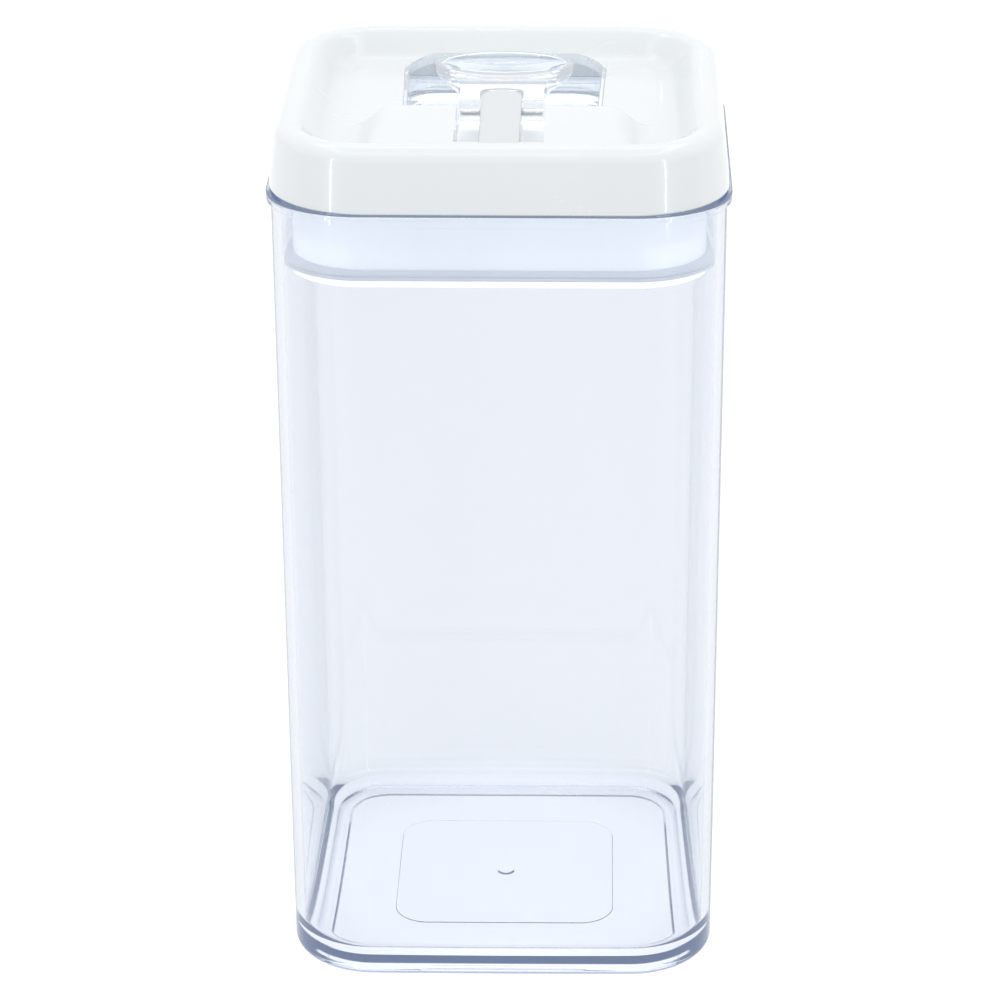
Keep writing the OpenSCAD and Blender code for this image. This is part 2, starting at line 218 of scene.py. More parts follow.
def loft(name, rings, cap_start=True, cap_end=True):
    """Draws the first ring as an outline and extrudes it through the others, point for point."""
    n = len(rings[0])
    ob = start(name, "circle", vertices=n, radius=1)
    for v, p in zip(ob.data.vertices, rings[0]):
        v.co = Vector(p) * MM
    into_edit(ob, "SELECT")
    if cap_start:
        bpy.ops.mesh.edge_face_add()
        bpy.ops.mesh.select_mode(type="EDGE")
        bpy.ops.mesh.region_to_loop()
    for ring in rings[1:]:
        bpy.ops.mesh.extrude_edges_move()
        bm = bmesh.from_edit_mesh(ob.data)
        bm.verts.ensure_lookup_table()
        for v, p in zip(bm.verts[-n:], ring):
            v.co = Vector(p) * MM
        bmesh.update_edit_mesh(ob.data)
    if cap_end:
        bpy.ops.mesh.edge_face_add()
    out_of_edit()
    return ob


def prism(name, outline, z0, z1):
    """An outline of [x, y] extruded from z0 up to z1."""
    return loft(name, [[(x, y, z) for x, y in outline] for z in (z0, z1)])


def block(name, low, high):
    """A box between two corners, as a start for booleans."""
    (x0, y0, z0), (x1, y1, z1) = low, high
    return prism(name, [(x0, y0), (x1, y0), (x1, y1), (x0, y1)], z0, z1)


def slab(name, outline, x0, x1):
    """An outline of [y, z] extruded along X."""
    return loft(name, [[(x, y, z) for y, z in outline] for x in (x0, x1)])


def drum(name, x, y, z0, z1, radius, n=48):
    """An upright round bar, for bores."""
    return prism(name, arc((x, y), radius, 0, 360 - 360 / n, n - 1), z0, z1)


def modify(ob, kind, **settings):
    """Adds a modifier, sets it and applies it."""
    bpy.ops.object.select_all(action="DESELECT")
    bpy.context.view_layer.objects.active = ob
    ob.select_set(True)
    m = ob.modifiers.new(kind.title(), kind)
    for key, value in settings.items():
        setattr(m, key, value)
    bpy.ops.object.modifier_apply(modifier=m.name)


def combine(ob, other, operation):
    """Joins, cuts or crosses two closed forms, and removes the second."""
    for o in (ob, other):
        tidy_mesh(o)
    modify(ob, "BOOLEAN", operation=operation, object=other, solver="EXACT")
    bpy.data.meshes.remove(other.data)


def cut(ob, other):
    combine(ob, other, "DIFFERENCE")


def add(ob, other):
    combine(ob, other, "UNION")


def join(ob, other):
    """Puts the second form's faces into the first, uncut."""
    bpy.ops.object.select_all(action="DESELECT")
    other.select_set(True)
    ob.select_set(True)
    bpy.context.view_layer.objects.active = ob
    bpy.ops.object.join()


def soften(ob, width, angle=35, segments=2):
    """Rounds the edges that turn by more than the angle."""
    modify(ob, "BEVEL", width=width * MM, segments=segments, limit_method="ANGLE",
           angle_limit=math.radians(angle), harden_normals=False, use_clamp_overlap=True,
           miter_outer="MITER_ARC")


def finish_piece(ob, body, node, material, angle=38):
    """Sets the shading, the material and the frame's rows of a finished piece."""
    bpy.ops.object.select_all(action="DESELECT")
    ob.select_set(True)
    bpy.context.view_layer.objects.active = ob
    bpy.ops.object.shade_smooth_by_angle(angle=math.radians(angle))
    modify(ob, "WEIGHTED_NORMAL", weight=100, keep_sharp=True)
    ob.data.materials.clear()
    ob.data.materials.append(material)
    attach(ob, body)
    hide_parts(node)


def rounded(p, c, corner_steps, xs, ys, bow=0):
    """A rounded square of half width p about corner centres at c, anticlockwise from the front right.
    xs and ys are the places of the points on the sides, from -c to c."""
    r = p - c
    swell = lambda t: bow * (1 - (t / c) ** 2)
    points = []
    for q in range(4):
        stops = (ys, xs[::-1], ys[::-1], xs)[q]
        sign = (1, -1, -1, 1)[q]
        a = math.pi / 2 * q
        turn = lambda u, v: (u * math.cos(a) - v * math.sin(a), u * math.sin(a) + v * math.cos(a))
        points += [turn(p + swell(t), t * sign) for t in stops[:-1]]
        for i in range(corner_steps):
            b = math.pi / 2 * i / corner_steps
            points.append(turn(c + r * math.cos(b), c + r * math.sin(b)))
    return points


# Materials

def new_material(name):
    """An empty node material."""
    m = bpy.data.materials.new(name)
    m.use_nodes = True
    m.node_tree.nodes.clear()
    return m


def node(tree, kind, links=None, **settings):
    """Adds a node. links maps its inputs to sockets or to constants."""
    n = tree.nodes.new(kind)
    for key, value in settings.items():
        setattr(n, key, value)
    for key, value in (links or {}).items():
        if isinstance(value, bpy.types.NodeSocket):
            tree.links.new(value, n.inputs[key])
        else:
            n.inputs[key].default_value = value
    return n


def group_tree(name, inputs, outputs):
    """A shader node group with named float inputs and outputs."""
    tree = bpy.data.node_groups.new(name, "ShaderNodeTree")
    for label, value in inputs:
        s = tree.interface.new_socket(label, in_out="INPUT", socket_type="NodeSocketFloat")
        s.default_value = value
    for label in outputs:
        tree.interface.new_socket(label, in_out="OUTPUT", socket_type="NodeSocketFloat")
    return tree, node(tree, "NodeGroupInput"), node(tree, "NodeGroupOutput")


def moulded_skin():
    """Height and cloudiness of a moulded plastic face: long flow ripples and a fine skin."""
    if "Moulded skin" in bpy.data.node_groups:
        return bpy.data.node_groups["Moulded skin"]
    tree, given, out = group_tree("Moulded skin", [("Flow scale", 18), ("Fine scale", 900), ("Fine share", 0.3)],
                                  ["Height", "Cloud"])
    place = node(tree, "ShaderNodeTexCoord").outputs["Object"]
    flow_place = node(tree, "ShaderNodeMapping", {"Vector": place, "Scale": (1, 1, 0.25)}).outputs[0]
    flow = node(tree, "ShaderNodeTexNoise", {"Vector": flow_place, "Scale": given.outputs["Flow scale"],
                                             "Detail": 2, "Roughness": 0.4, "Distortion": 0.4})
    fine = node(tree, "ShaderNodeTexNoise", {"Vector": place, "Scale": given.outputs["Fine scale"], "Detail": 3})
    share = node(tree, "ShaderNodeMath", {0: fine.outputs[0], 1: given.outputs["Fine share"]}, operation="MULTIPLY")
    total = node(tree, "ShaderNodeMath", {0: flow.outputs[0], 1: share.outputs[0]}, operation="ADD")
    tree.links.new(total.outputs[0], out.inputs["Height"])
    tree.links.new(flow.outputs[0], out.inputs["Cloud"])
    return tree


def handling_marks():
    """Mask of faint wiping scratches."""
    if "Handling marks" in bpy.data.node_groups:
        return bpy.data.node_groups["Handling marks"]
    tree, given, out = group_tree("Handling marks", [("Scale", 60), ("Amount", 0.5)], ["Mask"])
    place = node(tree, "ShaderNodeTexCoord").outputs["Object"]
    turned = node(tree, "ShaderNodeMapping", {"Vector": place, "Rotation": (0.4, 0.7, 0.5), "Scale": (1, 14, 1)})
    streaks = node(tree, "ShaderNodeTexNoise", {"Vector": turned.outputs[0], "Scale": given.outputs["Scale"],
                                                "Detail": 4, "Roughness": 0.7})
    thin = node(tree, "ShaderNodeMapRange", {"Value": streaks.outputs[0], "From Min": 0.62, "From Max": 0.75})
    scaled = node(tree, "ShaderNodeMath", {0: thin.outputs[0], 1: given.outputs["Amount"]}, operation="MULTIPLY")
    tree.links.new(scaled.outputs[0], out.inputs["Mask"])
    return tree


def plastic(name, base, rough, rough_swing, bump, flow_scale=18, fine_scale=900, marks=0.5, tint=0.03, **shader):
    """A Principled material with moulded skin and handling marks. The tint darkens the base colour in clouds."""
    m = new_material(name)
    t = m.node_tree
    skin = node(t, "ShaderNodeGroup", node_tree=moulded_skin())
    skin.inputs["Flow scale"].default_value = flow_scale
    skin.inputs["Fine scale"].default_value = fine_scale
    wiped = node(t, "ShaderNodeGroup", node_tree=handling_marks())
    wiped.inputs["Amount"].default_value = marks
    shade = node(t, "ShaderNodeMapRange", {"Value": skin.outputs["Cloud"], "From Min": 0.3, "From Max": 0.7,
                                           "To Min": 1 - tint, "To Max": 1})
    body_colour = node(t, "ShaderNodeMix", {"Factor": 1.0}, data_type="RGBA", blend_type="MULTIPLY")
    body_colour.inputs[6].default_value = (*base, 1)
    t.links.new(shade.outputs[0], body_colour.inputs[7])
    clouded = node(t, "ShaderNodeMapRange", {"Value": skin.outputs["Cloud"], "From Min": 0.3, "From Max": 0.7,
                                             "To Min": rough, "To Max": rough + rough_swing})
    roughness = node(t, "ShaderNodeMath", {0: wiped.outputs[0], 1: rough_swing, 2: clouded.outputs[0]},
                     operation="MULTIPLY_ADD")
    raised = node(t, "ShaderNodeBump", {"Height": skin.outputs["Height"], "Strength": 1.0,
                                        "Distance": bump * MM})
    bsdf = node(t, "ShaderNodeBsdfPrincipled", {"Base Color": body_colour.outputs[2],
                                                "Roughness": roughness.outputs[0], "Normal": raised.outputs[0]})
    for key, value in shader.items():
        bsdf.inputs[key.replace("_", " ")].default_value = value
    out = node(t, "ShaderNodeOutputMaterial", {"Surface": bsdf.outputs[0]})
    return m, t, out


TRAPPED_DEPTH = 8  # steps of a ray after which it counts as trapped
TRAPPED_TURNS = 2.5  # turns inside the plastic after which it does


def clear_plastic(name, tint, depth, density, trapped, rough=0.0, swing=0.02, bump=0.002, flow=18):
    """Clear plastic with a tint that grows with its thickness. Light that other pieces gather passes straight
    through it, and light trapped deep inside it comes out as a pale glow instead of black."""
    m, t, out = plastic(name, tint, rough, swing, bump, flow_scale=flow, fine_scale=300, marks=0.4, tint=0.01,
                        IOR=1.49, Transmission_Weight=1.0)
    bsdf = out.inputs["Surface"].links[0].from_socket
    ray = node(t, "ShaderNodeLightPath")
    gather = node(t, "ShaderNodeMath", {0: ray.outputs["Is Shadow Ray"], 1: ray.outputs["Is Diffuse Ray"]},
                  operation="MAXIMUM")
    clear = node(t, "ShaderNodeBsdfTransparent", {"Color": (*tint, 1)})
    open_way = node(t, "ShaderNodeMixShader", {0: gather.outputs[0], 1: bsdf, 2: clear.outputs[0]})
    long_way = node(t, "ShaderNodeMath", {0: ray.outputs["Ray Depth"], 1: TRAPPED_DEPTH}, operation="GREATER_THAN")
    turned = node(t, "ShaderNodeMath", {0: ray.outputs["Glossy Depth"], 1: TRAPPED_TURNS}, operation="GREATER_THAN")
    deep = node(t, "ShaderNodeMath", {0: long_way.outputs[0], 1: turned.outputs[0]}, operation="MAXIMUM")
    glow = node(t, "ShaderNodeEmission", {"Color": (*trapped, 1), "Strength": 1.0})
    both = node(t, "ShaderNodeMixShader", {0: deep.outputs[0], 1: open_way.outputs[0], 2: glow.outputs[0]})
    t.links.new(both.outputs[0], out.inputs["Surface"])
    mass = node(t, "ShaderNodeVolumeAbsorption", {"Color": (*depth, 1), "Density": density})
    t.links.new(mass.outputs[0], out.inputs["Volume"])
    return m


def material(name, make, *args, **kw):
    """One material by name, made once."""
    if name in bpy.data.materials:
        return bpy.data.materials[name]
    made = make(name, *args, **kw)
    return made[0] if isinstance(made, tuple) else made


def jar_plastic(c):
    return material("Jar clear plastic", clear_plastic, c.clear, c.depth, 12, c.jar_trapped)


def lid_plastic(c):
    return material("Lid clear plastic", clear_plastic, c.lid_clear, c.depth, 2, c.lid_trapped, flow=60)


def milky_plastic(c, name="Milky plastic", scatter=0.175):
    """The emission stands in for light that scatters inside milky plastic."""
    return material(name, plastic, c.milky, 0.4, 0.1, 0.004, flow_scale=40, marks=0.2, tint=0.02,
                    IOR=1.45, Transmission_Weight=0.3, Emission_Color=(*c.milky, 1), Emission_Strength=scatter)


def cover_plastic(c, name="Cover white plastic", share=1.0, through=0.0):
    """share darkens the white into a painted shade, and through is a painted glow that lifts the shade of the faces
    it is set on, standing partly for the light that comes through the thin moulding.
    """
    return material(name, plastic, tuple(v * share for v in c.white), 0.2, 0.08, 0.004, flow_scale=25, tint=0.02,
                    IOR=1.5, Coat_Weight=0.6, Coat_Roughness=0.03,
                    Emission_Color=(*c.white, 1), Emission_Strength=through)


def silicone(c):
    # The weak emission is a painted glow that lightens the seal.
    return material("Seal silicone", plastic, c.seal, 0.42, 0.12, 0.01, flow_scale=60, marks=0.2,
                    IOR=1.42, Emission_Color=(*c.seal, 1), Emission_Strength=0.1)


def steel(c):
    return material("Pin steel", plastic, c.steel, 0.25, 0.15, 0.004, flow_scale=400, marks=1.0, Metallic=1.0)


# Forms

class CANISTER_OT_jar(bpy.types.Operator):
    """Models the clear jar: foot, raised panel, bowed sides and rim"""
    bl_idname = "canister.jar"
    bl_label = "Jar"

    def execute(self, context):
        s = context.scene.canister_jar
        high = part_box("body")[1] / MM
        rim_p, top = high.x, high.z
        half = rim_p - s.rim_out / MM
        c = half - s.corner / MM
        foot_p = half - s.draft / MM
        wall, floor, rise, rim = s.wall / MM, s.floor / MM, s.rise / MM, s.rim / MM
        fillet, foot_r = s.inner_fillet / MM, s.foot_fillet / MM
        land = foot_p - foot_r - s.foot / MM
        floor_z, in_p, mouth = rise + floor, foot_p - wall, half - wall
        flange_z = top - rim
        swell = s.bow / MM
        side = lambda z: foot_p + s.draft / MM * z / flange_z
        inside = lambda z: in_p + (mouth - in_p) * z / top
        # [half width, height, share of the bow], from the middle of the underside round to the middle of the floor
        profile = [(c + 1, rise, 0), (land - 1.2, rise, 0)]
        profile += [(p, z, 0) for p, z in arc((land - 0.7, rise - 0.5), 0.5, 90, 0, 3)]
        profile += [(p, z, 0.3) for p, z in arc((land + 0.3, 0.3), 0.3, 180, 270, 2)]
        profile += [(p, z, 0.6 + 0.4 * i / 8) for i, (p, z) in
                    enumerate(arc((foot_p - foot_r, foot_r), foot_r, -90, 0, 8))]
        profile += [(side(z), z, 1) for z in spread(foot_r, flange_z - 0.6, 12)[1:]]
        profile += [(p, z, 0.9) for p, z in arc((half + 0.6, flange_z - 0.6), 0.6, 180, 90, 3)]
        profile += [(p, z, 0.8) for p, z in arc((rim_p - 0.4, flange_z + 0.4), 0.4, -90, 0, 3)]
        profile += [(p, z, 0) for p, z in arc((rim_p - 0.5, top - 0.5), 0.5, 0, 90, 4)]
        profile += [(p, z, 0.8) for p, z in arc((mouth + 0.6, top - 0.6), 0.6, 90, 180, 4)]
        profile += [(inside(z), z, 1) for z in spread(top - 0.6, floor_z + fillet, 12)[1:-1]]
        profile += [(p, z, 0.6 + 0.4 * (1 - i / 12)) for i, (p, z) in
                    enumerate(arc((in_p - fillet, floor_z + fillet), fillet, 0, -90, 12))]
        profile += [(c + 4, floor_z, 0), (c + 1, floor_z, 0)]
        stops = spread(-c, c, s.side_steps)
        rings = []
        for p, z, share in profile:
            bow = min(swell * share, rim_p - p)  # keeps the rim inside the frame's box
            rings.append([(x, y, z) for x, y in rounded(p, c, s.corner_steps, stops, stops, bow)])
        jar = loft("jar", rings, cap_start=False)
        self.panel(jar, s, c, rise)
        tidy_mesh(jar)
        finish_piece(jar, "canister", "body", jar_plastic(context.scene.canister_colours))
        return {"FINISHED"}

    def panel(self, jar, s, c, rise):
        """The underside inside the foot: a rounded-square panel that stands out, with the gate mark on it."""
        half, relief, gate = s.panel / 2 / MM, s.relief / MM, s.gate / MM
        centre = half - s.panel_corner / MM
        stops = spread(-c, c, s.side_steps)
        places = [t * centre / c for t in stops]
        outer = rounded(c + 1, c, s.corner_steps, stops, stops)
        angles = [math.atan2(y, x) for x, y in outer]

        def ring(p, z):
            return [(x, y, z) for x, y in rounded(p, centre, s.corner_steps, places, places)]

        def circle(radius, z):
            return [(radius * math.cos(a), radius * math.sin(a), z) for a in angles]

        face, mark = rise - relief, rise - 2 * relief
        sheet = [[(x, y, rise) for x, y in outer],
                 ring(half + 0.3, rise), ring(half, rise - 0.12), ring(half, face + 0.1), ring(half - 0.15, face),
                 circle(gate + 0.25, face), circle(gate, face - 0.1),
                 circle(gate - 0.3, mark + 0.05), circle(gate * 0.4, mark)]
        join(jar, loft("underside", sheet, cap_start=False))


def smooth_max(a, b, k):
    """The higher of two heights, rounded over k where they meet."""
    h = max(k - abs(a - b), 0) / k
    return max(a, b) + h * h * k / 4


def smooth_min(a, b, k):
    """The lower of two heights, rounded over k where they meet."""
    return -smooth_max(-a, -b, k)


def dish_edge(lid, lid_p):
    """Half width at which the dish's wall, falling at 45 degrees, would meet the floor without a fillet."""
    crest, half_turn = lid.crest / MM, math.sqrt(0.5)
    return lid_p - lid.lean / MM - crest * (1 + half_turn) - lid.dish / MM + crest * (1 - half_turn)


def dish_height(lid, crest_z, dish_p, x, y):
    """Height of the dish's surface over a point in plan, up to the end of its fillet."""
    r = lid.dish_fillet / MM
    start_p = dish_p - r * math.tan(math.radians(22.5))
    p = max(abs(x), abs(y)) - start_p
    base = crest_z - lid.dish / MM
    return base if p <= 0 else base + r - math.sqrt(max(r * r - min(p, r * 0.7) ** 2, 0))


def well_outline(lid, m, front=None):
    """Plan of the finger well grown by m: square front corners and round rear ones."""
    x, r, y = WELL_HALF + m, lid.well_corner / MM + m, WELL_BACK + m
    f = WELL_FRONT - m if front is None else front
    narrow = x - lid.well_taper / MM
    return ([(-narrow, f), (narrow, f)] + arc((x - r, y - r), r, 0, 90, 14) + arc((r - x, y - r), r, 90, 180, 14))


class CANISTER_OT_cover(bpy.types.Operator):
    """Models the white cover: skirt, crest, dish, ridge, lever slots and the tongue between them"""
    bl_idname = "canister.cover"
    bl_label = "Lid cover"

    def execute(self, context):
        lid, colours = context.scene.canister_lid, context.scene.canister_colours
        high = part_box("lid_cover")[1] / MM
        lid_p, crest_z = high.x - SKIRT_GAP, high.z
        dish_z, shell = crest_z - lid.dish / MM, lid.shell / MM
        dish_p = dish_edge(lid, lid_p)
        channel = (lid.tongue / 2 + lid.slot) / MM
        cover = self.skin(lid, lid_p, crest_z, dish_z, dish_p, channel)
        self.raise_ridge(cover, lid, crest_z, dish_z, dish_p, shell)
        self.open_channel(cover, dish_z, channel)
        modify(cover, "SOLIDIFY", thickness=shell * MM, offset=-1, use_even_offset=True, use_quality_normals=True)
        self.open_lid(cover, lid, dish_z, crest_z, shell, channel)
        finish_piece(cover, "lid", "lid_cover", cover_plastic(colours))
        # The tongue takes a painted shade: the cover's white darkened to 0.86.
        cover.data.materials.append(cover_plastic(colours, "Tongue white plastic", 0.86))
        # The inner faces take a painted glow of 0.36 that lifts their shade, standing partly for light through the
        # thin moulding.
        cover.data.materials.append(cover_plastic(colours, "Cover inner face", 1.0, 0.36))
        for f in cover.data.polygons:
            x, y, z = f.center / MM
            in_slot = abs(x) < channel and SLOT_FRONT < y < 0 and z < SLOT_FLOOR + 0.3
            if abs(x) < lid.tongue / 2 / MM + 0.1 and SLOT_FRONT - 0.7 < y < 0 and z > PIVOT.z - 5:
                f.material_index = TONGUE_SHADE_FACE
            elif in_slot or z > SKIRT_FOOT + 1 and f.normal.z < -0.2:
                f.material_index = INNER_GLOW_FACE
        return {"FINISHED"}

    def skin(self, lid, lid_p, crest_z, dish_z, dish_p, channel):
        """The cover's outer skin: skirt, crest and dish, with a fine grid of faces where the ridge rises."""
        c, turn = LID_CORNER, 0.5
        crest_r, fillet = lid.crest / MM, lid.dish_fillet / MM
        top = arc((lid_p - lid.lean / MM - crest_r, crest_z - crest_r), crest_r, 0, 135, 14)
        fillet_c = (dish_p - fillet * math.tan(math.radians(22.5)), dish_z + fillet)
        floor_arc = arc(fillet_c, fillet, -45, -90, 10)
        foot_z, (top_p, top_z), swell = SKIRT_FOOT + turn, top[0], 0.18
        profile = [(lid_p - turn, SKIRT_FOOT)] + arc((lid_p - turn, foot_z), turn, -60, 0, 3)
        profile += [(lid_p + (top_p - lid_p) * t + swell * math.sin(math.pi * t),
                     foot_z + (top_z - SKIRT_FOOT - turn) * t) for t in (0.15, 0.3, 0.45, 0.6, 0.75, 0.9)]
        (p0, z0), (p1, z1) = top[-1], floor_arc[0]
        profile += top + [(p0 + (p1 - p0) * t, z0 + (z1 - z0) * t) for t in (0.25, 0.5, 0.75)] + floor_arc
        profile += [(p, dish_z) for p in spread(floor_arc[-1][0], c, 7)[1:]]
        # The rows crowd together at the ridge's steep rear
        xs = spread(-c, -channel, 17) + spread(-channel, channel, 18)[1:-1] + spread(channel, c, 17)
        ys = [-c] + spread(-31.2, -15.6, 13)
        ys += [-15.2, -14.8, -14.4, -14.1, -13.9, -13.75, -13.65, -13.6, -13.54, -13.2] + spread(-12, c, 34)
        rings = [[(x, y, z) for x, y in rounded(p, c, 18, xs, ys)] for p, z in profile]
        cover = loft("lid_cover_moulding", rings, cap_start=False, cap_end=False)
        middle = start("dish floor", "grid", x_subdivisions=len(xs) - 1, y_subdivisions=len(ys) - 1, size=2)
        for i, v in enumerate(middle.data.vertices):
            v.co = Vector((xs[i % len(xs)], ys[i // len(xs)], dish_z)) * MM
        join(cover, middle)
        into_edit(cover, "SELECT")
        bpy.ops.mesh.remove_doubles(threshold=0.002 * MM)
        out_of_edit()
        return cover

    def open_channel(self, cover, dish_z, channel):
        """Takes the skin's faces over the lever's channel away and turns the rest outwards."""
        into_edit(cover)
        bm = bmesh.from_edit_mesh(cover.data)
        for f in bm.faces:
            x, y, z = f.calc_center_median() / MM
            f.select_set(abs(x) < channel and SLOT_FRONT < y < RIDGE_BACK + 0.06 and z > dish_z - 1)
        bmesh.update_edit_mesh(cover.data)
        bpy.ops.mesh.delete(type="FACE")
        bpy.ops.mesh.select_all(action="SELECT")
        bpy.ops.mesh.normals_make_consistent(inside=False)
        bm = bmesh.from_edit_mesh(cover.data)
        if sum(f.normal.z * f.calc_area() for f in bm.faces) < 0:
            bpy.ops.mesh.flip_normals()
        out_of_edit()

    def raise_ridge(self, cover, lid, crest_z, dish_z, dish_p, shell):
        """Lifts the dish into the ridge behind the front crest: bell-shaped across, falling to the front."""
        ridge_z = crest_z - lid.ridge_drop / MM
        front = -dish_p - shell
        half, flank, k = lid.ridge_half / MM, lid.flank / MM, lid.ridge_blend / MM
        low, edge_r = dish_z - 1.2 * k, 1.2  # the foot starts under the dish
        for v in cover.data.vertices:
            x, y, z = v.co / MM
            s = (RIDGE_BACK - y) / (RIDGE_BACK - front)
            if max(abs(x), abs(y)) > dish_p + 6 or z < dish_z - 1 or y > RIDGE_BACK + 0.03 or s >= 1.15:
                continue
            t = min(max((abs(x) - half) / flank, 0), 1)
            across = low + (ridge_z - low) * (1 + math.cos(math.pi * t)) / 2
            along = ridge_z - lid.ridge_fall / MM * max(s, 0) ** 2
            height = min(smooth_min(across, along, 0.8), along)
            d = max(0, edge_r - (RIDGE_BACK - y))
            round_off = edge_r - math.sqrt(max(edge_r * edge_r - d * d, 0))
            height -= min(round_off, max(height - dish_z, 0) * 0.5)
            v.co.z = smooth_max(z, height, k) * MM

    def open_lid(self, cover, lid, dish_z, crest_z, shell, channel):
        """Cuts the well, and adds the channel's walls, the hinge block and the tongue."""
        trough, ridge_z = channel + SLOT_WALL, crest_z - lid.ridge_drop / MM
        low, high = SLOT_FLOOR - shell, crest_z + 5
        cut(cover, prism("well opening", well_outline(lid, 0.1, RIDGE_BACK), dish_z - 6, high))
        soften(cover, 0.25, 50, 2)
        mount = slab("trough", [(SLOT_FRONT - shell, low), (SLOT_FRONT - shell, dish_z + 1.2),
                                (RIDGE_BACK - 0.05, ridge_z - 1.3), (RIDGE_BACK - 0.05, low)], -trough, trough)
        add(mount, block("rear wall", (-WELL_HALF + 0.2, RIDGE_BACK - shell, low + 0.05),
                         (WELL_HALF - 0.2, RIDGE_BACK - 0.02, dish_z + 1)))
        add(mount, block("hinge block", (-trough + 0.03, WELL_FRONT + 1.6, WELL_FLOOR),
                         (trough - 0.03, PIVOT.y + 6.1, SLOT_FLOOR + 0.02)))
        cut(mount, block("channel", (-channel - 0.02, SLOT_FRONT - 0.02, SLOT_FLOOR), (channel + 0.02, 2, high)))
        add(mount, self.blade(lid, ridge_z))
        cut(mount, drum("post bore", 0, PIVOT.y, 211, PIVOT.z + 2.6, POST_R))
        pin = arc((PIVOT.y, PIVOT.z), PIN_SLOT_R, 0, 180, 12)
        pin += arc((PIVOT.y, PIVOT.z - PLATE_TRAVEL), PIN_SLOT_R, 180, 360, 12)
        cut(mount, slab("pin slot", pin, -lid.tongue / MM, lid.tongue / MM))
        soften(mount, 0.2, 50, 2)
        # The skin's rim would otherwise stand into the channel
        for v in cover.data.vertices:
            x, y, _ = v.co / MM
            if abs(x) < channel and SLOT_FRONT + 0.5 < y < RIDGE_BACK + 2:
                v.co.x = math.copysign(channel, x) * MM
        join(cover, mount)

    def blade(self, lid, ridge_z):
        """The tongue: a rounded bar that falls to the front from the ridge's rear edge."""
        r, fall = lid.tongue / MM / 2, 3.5
        plan = [(-r, SLOT_FRONT - 0.6), (r, SLOT_FRONT - 0.6)] + arc((0, PIVOT.y), r, 0, 180, 20)
        blade = prism("tongue", plan, SLOT_FLOOR - 0.5, ridge_z)
        for v in blade.data.vertices:
            if v.co.z / MM > SLOT_FLOOR and v.co.y / MM < RIDGE_BACK:
                t = (RIDGE_BACK - v.co.y / MM) / (RIDGE_BACK - SLOT_FRONT)
                v.co.z -= fall * t * MM
        soften(blade, 0.5, 35, 3)
        return blade


class CANISTER_OT_plug(bpy.types.Operator):
    """Models the clear plug: wall, flange and the finger well"""
    bl_idname = "canister.plug"
    bl_label = "Plug and finger well"

    def execute(self, context):
        lid, colours = context.scene.canister_lid, context.scene.canister_colours
        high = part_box("plug")[1] / MM
        c, flange_p, top, under, foot = LID_CORNER, high.x, PLUG_TOP, PLUG_TOP - PLUG_PLATE, PLUG_FOOT
        xs = spread(-c, c, 16)
        profile = [(c + 0.5, under), (PLUG_BORE - 1, under)] + arc((PLUG_BORE - 1, under - 1), 1, 90, 0, 4)
        profile += [(PLUG_BORE, foot + 0.3), (PLUG_BORE + 0.3, foot)]
        profile += [(PLUG_WALL - 0.3, foot), (PLUG_WALL, foot + 0.3)]
        profile += arc((PLUG_WALL + 0.6, under - 0.6), 0.6, 180, 90, 3)
        profile += [(flange_p - 0.3, under), (flange_p, under + 0.3)]
        profile += [(flange_p, top - 0.3), (flange_p - 0.3, top), (c + 0.5, top)]
        plug = loft("plug_moulding", [[(x, y, z) for x, y in rounded(p, c, 16, xs, xs)] for p, z in profile])
        cut(plug, prism("room for the well", well_outline(lid, -0.7), WELL_FLOOR - 1, high.z))
        add(plug, self.well(lid))
        cut(plug, block("under the ridge", (-60, -60, 216.4), (60, RIDGE_BACK + 0.2, 240)))
        cut(plug, drum("post hole", 0, PIVOT.y, 205, 240, POST_R))
        for x in (-STAKE, STAKE):
            for y in (-STAKE, STAKE):
                cut(plug, drum("stake hole", x, y, 205, 240, STAKE_R, 24))
        soften(plug, 0.3, 60, 2)
        finish_piece(plug, "lid", "plug", lid_plastic(colours))
        plug.data.materials.append(milky_plastic(colours))
        for f in plug.data.polygons:
            x, y, z = (abs(t) / MM for t in f.center)
            p = c + math.hypot(x - c, y - c) if min(x, y) > c else max(x, y)
            f.material_index = int(p > PLUG_BORE - 2 and z < under + 0.1)
        return {"FINISHED"}

    def well(self, lid):
        """The finger well as a cup with a thin wall. Its lip follows the dish's surface."""
        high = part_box("lid_cover")[1] / MM
        dish_p = dish_edge(lid, high.x)
        wall, lip, r = lid.well_wall / MM, lid.well_lip / MM, WELL_FILLET

        def ring(m, z):
            return [(x, y, z) for x, y in well_outline(lid, m)]

        def lip_ring(m, drop):
            return [(x, y, dish_height(lid, high.z, dish_p, x, y) + lip - drop) for x, y in well_outline(lid, m)]

        rings = [ring(-wall, WELL_FLOOR - 2), ring(-0.6, WELL_FLOOR - 2), ring(0, WELL_FLOOR - 1.4)]
        rings += [lip_ring(0, 0.3), lip_ring(-0.3, 0), lip_ring(0.3 - wall, 0), lip_ring(-wall, 0.3)]
        rings += [ring(-wall - r + p, z) for p, z in arc((0, WELL_FLOOR + r), r, 0, -90, 6)]
        return loft("well", rings)


